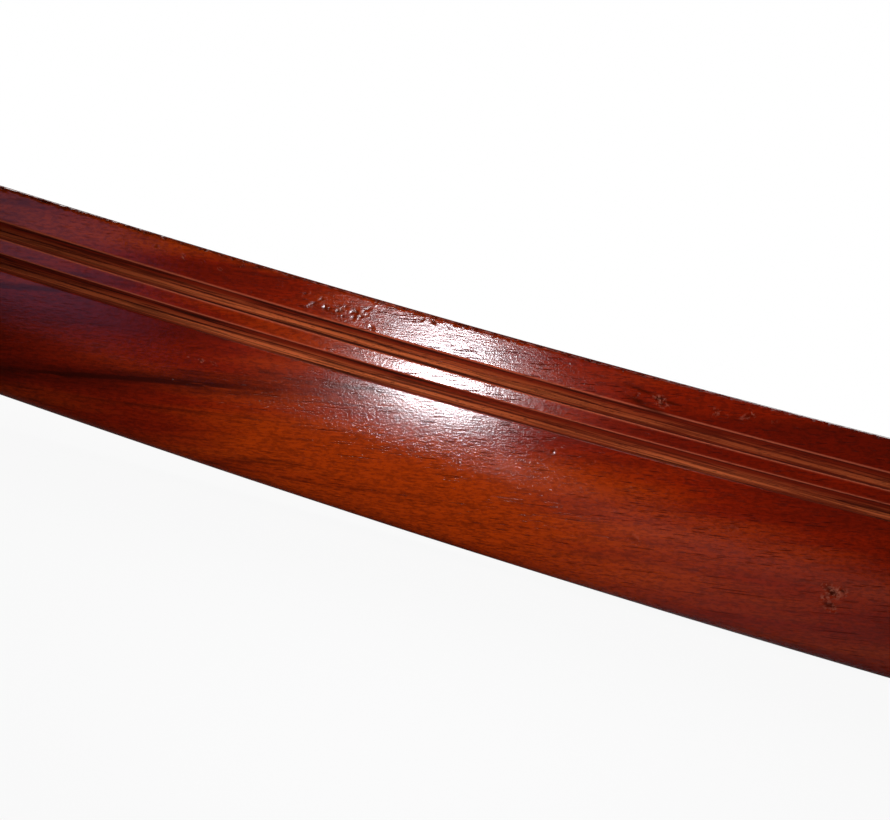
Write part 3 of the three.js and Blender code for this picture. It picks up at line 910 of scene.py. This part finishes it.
def fitted(node, mesh, finish, cutters=()):
    """Makes the fine piece that stands for a CAD node, with the cutters' shapes taken out of it."""
    material, slot = finish
    piece = new_object(node + "_fine", *mesh, material)
    face_outward(piece)
    tools = [new_object("cutter", *cutter, material) for cutter in cutters]
    for tool in tools:
        face_outward(tool)
        cut = piece.modifiers.new("cut", "BOOLEAN")
        cut.object = tool
        cut.operation = "DIFFERENCE"
        cut.solver = "EXACT"
    if tools:
        evaluated = piece.evaluated_get(bpy.context.evaluated_depsgraph_get())
        whole = bpy.data.meshes.new_from_object(evaluated)
        piece.modifiers.clear()
        piece.data = whole
    for tool in tools:
        bpy.data.objects.remove(tool)
    piece.data.set_sharp_from_angle(angle=math.radians(32))
    stand_for(node, piece)


# ---- Hardware pieces ----

BORE = 4.5 * MM
EASED = 0.25 * MM  # the break that a file or a mould leaves on a plain edge
SCREW_NAMES = ("rose_screw_1", "rose_screw_2", "rose_screw_3")
SCREW_HOLE = 2.05 * MM  # radius
COUNTERSINK = 2.4 * MM  # depth


def ring(inner, outer, low, high, ease):
    """The closed profile of a plain ring with eased corners."""
    return rounded([(inner, low), (outer, low), (outer, high), (inner, high)], ease)


def build_insert(side):
    """A flanged sleeve with a coarse wood thread round it."""
    node = f"{side}_threaded_insert"
    low, high = span(node)
    bore, root, flange, lip = 4.1 * MM, 6.4 * MM, radius_of(node), 1.5 * MM
    pitch, thread_depth, step = 3 * MM, 1 * MM, 0.2 * MM
    body = [(root, along) for along in np.arange(low + lip + EASED, high - EASED, step)]
    ends = rounded([(root, high), (bore, high), (bore, low), (flange, low), (flange, low + lip)], EASED)
    profile = np.concatenate([ends, [(root + EASED, low + lip)], body])
    ridge = thread(low + lip, high, pitch, thread_depth, root)

    def above_lip(radius, along, angle):
        return np.where(along > low + lip, ridge(radius, along, angle), radius)

    fitted(node, turned(node, profile, above_lip, columns=64), BRASS)


def build_isolator(side):
    node = f"{side}_isolating_washer"
    fitted(node, turned(node, ring(BORE, radius_of(node), *span(node), 0.6 * MM)), RUBBER)


def build_pillar(side):
    """A spigot in the rose's socket, a bead, a hollow waist and a bead under the wide head."""
    node = f"{side}_pillar"
    low, high = span(node)
    rose_top = span(f"{side}_wall_rose")[1]
    foot, head, waist = 11 * MM, 12.5 * MM, 7.5 * MM
    bead, swell, quirk = 2.5 * MM, 0.7 * MM, 1 * MM
    waist_low, waist_high = rose_top + bead, high - bead
    pull = (2 * waist - (foot + head) / 2 + quirk, (waist_low + waist_high) / 2)
    hollow = bent((foot - quirk, waist_low), pull, (head - quirk, waist_high), 33)
    turn = np.linspace(-QUARTER, QUARTER, 17)
    low_bead = [(foot + swell * math.cos(a), rose_top + bead / 2 * (1 + math.sin(a))) for a in turn]
    high_bead = [(head + swell * math.cos(a), high - bead / 2 * (1 - math.sin(a))) for a in turn]
    bottom = rounded([(BORE, low), (foot, low)], EASED)
    top = [(BORE + EASED, high), (BORE, high - EASED)]
    profile = np.concatenate([bottom, low_bead, hollow, high_bead, top])
    fitted(node, turned(node, profile), BRASS)


def build_rose(side):
    """A round flange with a softened rim, a cove up to the hub, a socket and three countersunk holes."""
    node = f"{side}_wall_rose"
    low, high = span(node)
    rim = radius_of(node)
    face, edge, mouth, beyond = low + 4 * MM, 1.4 * MM, 4.15 * MM, 2 * MM
    hub, chamfer, socket, socket_depth = 14.5 * MM, 1 * MM, 11.05 * MM, 3.5 * MM
    cove = high - chamfer - face
    rim_sweep = arc((rim - edge, face - edge), edge, 0, QUARTER, 9)
    hub_sweep = arc((hub + cove, face + cove), cove, -QUARTER, -2 * QUARTER, 17)
    inside = rounded([
        (hub - chamfer, high), (socket, high), (socket, high - socket_depth), (BORE, high - socket_depth),
        (BORE, low), (rim, low),
    ], EASED)
    profile = np.concatenate([inside, rim_sweep, hub_sweep])
    hole = [
        (0, low - beyond), (SCREW_HOLE, low - beyond), (SCREW_HOLE, face - COUNTERSINK), (mouth, face),
        (mouth, face + beyond), (0, face + beyond),
    ]
    cutters = [turned(f"{side}_{screw}", hole, columns=48) for screw in SCREW_NAMES]
    fitted(node, turned(node, profile), BRASS, cutters)


def build_rose_screw(side, name):
    """A slotted countersunk wood screw with a helical thread and a drawn-out point."""
    node = f"{side}_{name}"
    tip, head_face = span(node)
    head, shank, land = radius_of(node), 1.9 * MM, 0.2 * MM
    root, point, pitch, thread_depth, step = 1.35 * MM, 3 * MM, 1.3 * MM, 0.55 * MM, 0.11 * MM
    neck = head_face - COUNTERSINK
    thread_end, shank_start = neck - 4 * MM, neck - 3.6 * MM
    taper = [(root * share, tip + point * share) for share in np.linspace(0, 1, 16)]
    core = [(root, along) for along in np.arange(tip + point, thread_end, step)]
    corners = [(0, head_face, 0), (shank, neck, 0), (head, head_face - land), (head, head_face)]
    top = rounded(corners, land / 2)[1:]
    profile = np.concatenate([taper, core, [(shank, shank_start)], top, [(0, head_face)]])

    def ridge(radius, along, angle):
        height = thread_depth * crest(along, angle, pitch, 1.6)
        grip = np.clip((along - tip) / point, 0, 1) * np.clip((thread_end - along) / pitch, 0, 1)
        return np.where(radius > 0, radius + height * grip, radius)

    low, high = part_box(node)
    centre = Vector(((low.x + high.x) / 2, BULKHEAD_FACE - head_face, (low.z + high.z) / 2))
    slot = box_mesh(centre, Vector((1.2 * head, 1.3 * MM, 0.5 * MM)))
    fitted(node, turned(node, profile, ridge, columns=40), BRASS, [slot])


def box_mesh(centre, half):
    """A box about its centre, from its half sizes."""
    corners = [(x, y, z) for x in (-1, 1) for y in (-1, 1) for z in (-1, 1)]
    vertices = [centre + Vector(corner) * half for corner in corners]
    return vertices, [(0, 1, 3, 2), (4, 6, 7, 5), (0, 4, 5, 1), (2, 3, 7, 6), (0, 2, 6, 4), (1, 5, 7, 3)]


def build_gasket(side):
    node = f"{side}_gasket"
    low, high = span(node)
    hole = [(0, low - MM), (SCREW_HOLE, low - MM), (SCREW_HOLE, high + MM), (0, high + MM)]
    cutters = [turned(f"{side}_{screw}", hole, columns=32) for screw in SCREW_NAMES]
    fitted(node, turned(node, ring(BORE, radius_of(node), low, high, 0.4 * MM)), RUBBER, cutters)


def build_plate(side):
    """A square plate with rounded corners: each loop blends from the round bore to the square edge."""
    node = f"{side}_backing_plate"
    low, high = span(node)
    half, corner = radius_of(node), 8 * MM

    def squared(radius, along, angle):
        cosine, sine = np.abs(np.cos(angle)), np.abs(np.sin(angle))
        flat = half / np.maximum(cosine, sine)
        inner = half - corner
        spread = inner * (cosine + sine)
        bend = spread + np.sqrt(np.maximum(spread ** 2 - 2 * inner ** 2 + corner ** 2, 0))
        in_corner = np.minimum(cosine, sine) * flat > inner
        square = np.where(in_corner, bend, flat)
        share = np.clip((radius - BORE) / (half - BORE), 0, 1)
        return radius + share * (square - half)

    profile = rounded([(BORE, low), (half, low, 0.5 * MM), (half, high, 0.5 * MM), (BORE, high)], EASED)
    fitted(node, turned(node, profile, squared, columns=192), STEEL)


def build_spring_washer(side):
    """A square-section ring, split at the top with a slanting cut."""
    node = f"{side}_spring_washer"
    low, high = span(node)
    wire = ring(4.3 * MM, radius_of(node), low, high, 0.2 * MM)
    box_low, box_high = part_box(f"{side}_through_bolt")
    axis_x, axis_z = (box_low.x + box_high.x) / 2, BOLT_HEIGHT
    gap, slant, steps = math.radians(20), math.radians(7), 90
    loops = []
    for share in np.linspace(0, 1, steps):
        lean = slant * (wire[:, 1] - (low + high) / 2) / (high - low)
        angle = QUARTER + gap / 2 + share * (FULL_TURN - gap) + lean
        x = axis_x + wire[:, 0] * np.cos(angle)
        z = axis_z + wire[:, 0] * np.sin(angle)
        loops.append(np.stack([x, BULKHEAD_FACE - wire[:, 1], z], 1))
    columns = len(wire)
    faces = grid_faces(steps, columns)
    faces += [tuple(range(columns)), tuple(range((steps - 1) * columns, steps * columns))]
    fitted(node, (np.concatenate(loops), faces), STEEL)


def build_bolt(side):
    """A hexagon head with its corners turned off, a plain shank and a threaded end."""
    node = f"{side}_through_bolt"
    back, tip = span(node)
    flats, head_height, shank, pitch = 13 * MM, 5.3 * MM, 4 * MM, 1.25 * MM
    thread_length, root = 22 * MM, 3.35 * MM
    corner = flats / math.sqrt(3)
    seat = back + head_height
    rises = np.linspace(0, 0.78 * MM, 10)
    chamfer = [(flats / 2 * 0.95 + rise * math.sqrt(3), back + rise) for rise in rises]
    step, point, tip_radius = 0.1 * MM, 0.7 * MM, 2.9 * MM
    threaded = [(root, along) for along in np.arange(tip - thread_length, tip - point, step)]
    profile = np.concatenate([
        [(0, back)], chamfer, [(corner, seat - 0.5 * MM), (flats / 2, seat - 0.4 * MM), (flats / 2, seat)],
        [(shank, seat), (shank, tip - thread_length - 0.5 * MM)], threaded, [(tip_radius, tip), (0, tip)],
    ])
    ridge = thread(tip - thread_length, tip + pitch, pitch, shank - root, root)

    def reshape(radius, along, angle):
        sector = (angle + math.pi / 6) % (math.pi / 3) - math.pi / 6
        hexagon = np.minimum(radius, flats / 2 / np.cos(sector))
        on_thread = (along > tip - thread_length) & (radius > 0)
        round_part = np.where(on_thread, ridge(radius, along, angle), radius)
        return np.where(along < seat - 0.45 * MM, hexagon, round_part)

    fitted(node, turned(node, profile, reshape), STEEL)


FIXING = (
    build_insert, build_isolator, build_pillar, build_rose, build_gasket, build_plate,
    build_spring_washer, build_bolt,
)
for fixing_side in SIDES:
    for build in FIXING:
        build(fixing_side)
    for screw_name in SCREW_NAMES:
        build_rose_screw(fixing_side, screw_name)


# ---- Stage, camera and light ----

def aim(from_point, to_point, roll=0.0):
    """A matrix at from_point whose -Z looks at to_point, rolled about the line of sight."""
    ahead = (to_point - from_point).normalized()
    right = ahead.cross(Vector((0, 0, 1))).normalized()
    above = right.cross(ahead)
    turned_right = right * math.cos(roll) + above * math.sin(roll)
    turned_up = above * math.cos(roll) - right * math.sin(roll)
    axes = Matrix((turned_right, turned_up, -ahead)).transposed()
    return Matrix.Translation(from_point) @ axes.to_4x4()


def around(target, azimuth, elevation, distance):
    """The point at a distance from target; azimuth 0 is in front (-Y), 90 towards +X."""
    a, e = math.radians(azimuth), math.radians(elevation)
    direction = Vector((math.sin(a) * math.cos(e), -math.cos(a) * math.cos(e), math.sin(e)))
    return target + direction * distance


CAMERA_TARGET = Vector((0, RAIL_BACK - 20 * MM, BOLT_HEIGHT + RAIL_TOP - 28 * MM))
CAMERA_PLACE = around(CAMERA_TARGET, 0, 4.2, 0.398)
CAMERA_ROLL = math.radians(15.76)
LENS, SENSOR = 50.48, 36  # millimetres

# Two lamps in one place make a reflection with a bright core and a soft edge: name, radius, power.
KEY_LAMPS = (("key_core", 27 * MM, 2.5), ("key_halo", 54 * MM, 0.85))
KEY_PLACE = around(CAMERA_TARGET, -1.2, 6.2, 0.36)
KEY_AIM = CAMERA_TARGET + Vector((28 * MM, 0, 0))
KEY_CONE = math.radians(66)
KEY_COLOUR = (0.94, 0.94, 1.0)

# Soft panels: name, azimuth, elevation and distance, then diameter, power and colour.
WHITE = (1, 1, 1)
PANELS = (
    ("overhead", (10, 75, 1.3), 0.7, 3.0, WHITE),
    ("back_left", (-140, 35, 1.6), 0.8, 10, WHITE),
    ("back_right", (150, 30, 1.6), 0.8, 8, WHITE),
    ("window", (-31, 3, 1.1), 0.45, 0.45, (0.55, 0.5, 1.0)),
)
DARK_WORLD = 0.03
FLOOR_REACH = 40
FLOOR_CARD = (0.5, 0.5, 0.5)
DIM_CARD, BRIGHT_CARD = (0.10, 0.10, 0.10), (0.95, 0.95, 0.95)  # the floor as the varnish mirrors it


def build_camera():
    camera = add_object("camera", bpy.data.cameras.new("camera"))
    camera.data.sensor_width = SENSOR
    camera.data.lens = LENS
    camera.data.clip_start = 10 * MM
    camera.matrix_world = aim(CAMERA_PLACE, CAMERA_TARGET, CAMERA_ROLL)
    bpy.context.scene.camera = camera


def place_light(light, place, target, power, colour):
    light.energy = power
    light.color = colour
    lamp = add_object(light.name, light)
    lamp.matrix_world = aim(place, target)
    lamp.visible_camera = False


def build_lights():
    for name, radius, power in KEY_LAMPS:
        key = bpy.data.lights.new(name, "SPOT")
        key.shadow_soft_size = radius
        key.spot_size = KEY_CONE
        key.spot_blend = 1.0
        place_light(key, KEY_PLACE, KEY_AIM, power, KEY_COLOUR)
    for name, place, diameter, power, colour in PANELS:
        panel = bpy.data.lights.new(name, "AREA")
        panel.shape = "DISK"
        panel.size = diameter
        place_light(panel, around(CAMERA_TARGET, *place), CAMERA_TARGET, power, colour)


def build_world():
    """White to the camera and nearly dark to everything else, so the varnish stays deep."""
    shader = Shader("studio", bpy.data.worlds)
    seen = shader.node("LightPath").outputs["Is Camera Ray"]
    strength = shader.between(seen, 0, 1, DARK_WORLD, 1.0)
    backdrop = shader.node("Background", {"Color": (*WHITE, 1), "Strength": strength}).outputs[0]
    bpy.context.scene.world = shader.output(backdrop, "World")


def pale_floor():
    """White card to the camera, with a trace of the shadow near the rail. The varnish mirrors it as dim
    card, but for a bright stretch under the rail's right half."""
    shader = Shader("pale_floor")
    distance = shader.length(shader.place)
    card = shader.node("BsdfDiffuse", {"Color": (*FLOOR_CARD, 1)}).outputs[0]
    glow = shader.node("Emission", {"Color": (*WHITE, 1)}).outputs[0]
    shown = shader.between(distance, 0.3, 1.2, 0.93)
    pale = shader.node("MixShader", {0: shown, 1: card, 2: glow}).outputs[0]
    near = shader.between(distance, 0.25, 0.45, 1.0, 0.0)
    bright = shader.times(near, shader.between(shader.x, 20 * MM, 110 * MM))
    mirrored = shader.node("BsdfDiffuse", {"Color": shader.mix(bright, DIM_CARD, BRIGHT_CARD)}).outputs[0]
    ray = shader.node("LightPath").outputs
    unseen = shader.node("MixShader", {0: ray["Is Glossy Ray"], 1: card, 2: mirrored}).outputs[0]
    return shader.output(shader.node("MixShader", {0: ray["Is Camera Ray"], 1: unseen, 2: pale}).outputs[0])


def build_floor():
    corners = [(FLOOR_REACH * x, FLOOR_REACH * y, 0) for x, y in ((-1, -1), (1, -1), (1, 1), (-1, 1))]
    new_object("floor", corners, [(0, 1, 2, 3)], pale_floor())


build_camera()
build_lights()
build_world()
build_floor()
bpy.context.scene.view_settings.view_transform = "Standard"
